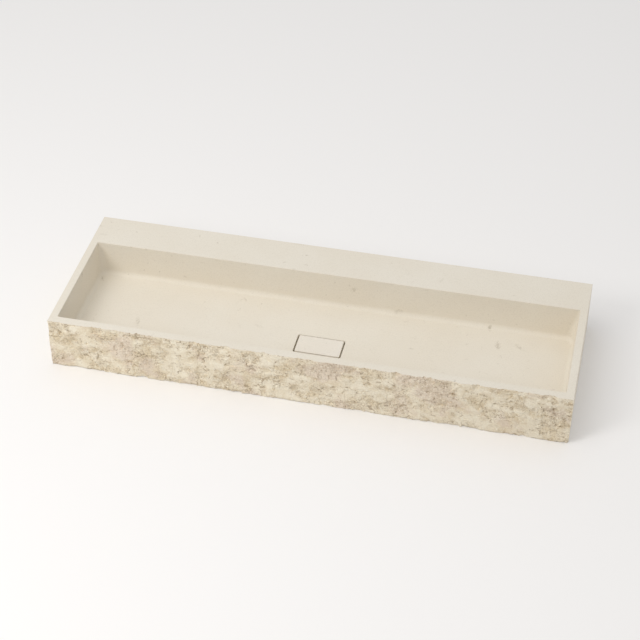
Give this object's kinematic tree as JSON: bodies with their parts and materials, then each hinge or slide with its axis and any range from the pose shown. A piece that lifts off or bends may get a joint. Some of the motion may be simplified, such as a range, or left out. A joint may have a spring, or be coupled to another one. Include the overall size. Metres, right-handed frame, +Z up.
{
  "type": "stone washbasin",
  "caption": "Long rectangular washbasin carved from one limestone block, with a back ledge, a split front and a lift-out stone cover over a flush drain.",
  "frame": {"origin": "centre of the underside, on the surface that the block lies on", "axes": "+X along the basin, +Y to its back, where the wall is, +Z up"},
  "size_m": [1.2, 0.4127, 0.13],
  "materials": {
    "limestone": "honed top and bowl, split front, sawn back and ends",
    "cover_limestone": "honed",
    "silicone": "matt translucent grey",
    "brass": "turned, unplated",
    "seal_rubber": "matt black",
    "stainless": "brushed",
    "washer_plastic": "natural white",
    "insert_steel": "zinc plated, knurled"
  },
  "bodies": {
    "basin": {"basin_block": "limestone", "outlet_bush": "brass", "flange_seal": "seal_rubber", "strainer_plate": "stainless", "strainer_screw": "stainless", "under_seal": "seal_rubber", "slip_washer": "washer_plastic", "ring_nut": "brass", "wall_inserts": "insert_steel"},
    "cover": {"drain_cover": "cover_limestone", "cover_pads": "silicone"}
  },
  "joints": [
    {"name": "cover_lift", "type": "slide", "parent": "basin", "child": "cover", "axis": [0, 0, 1], "range_m": [0, 0.14]}
  ]
}
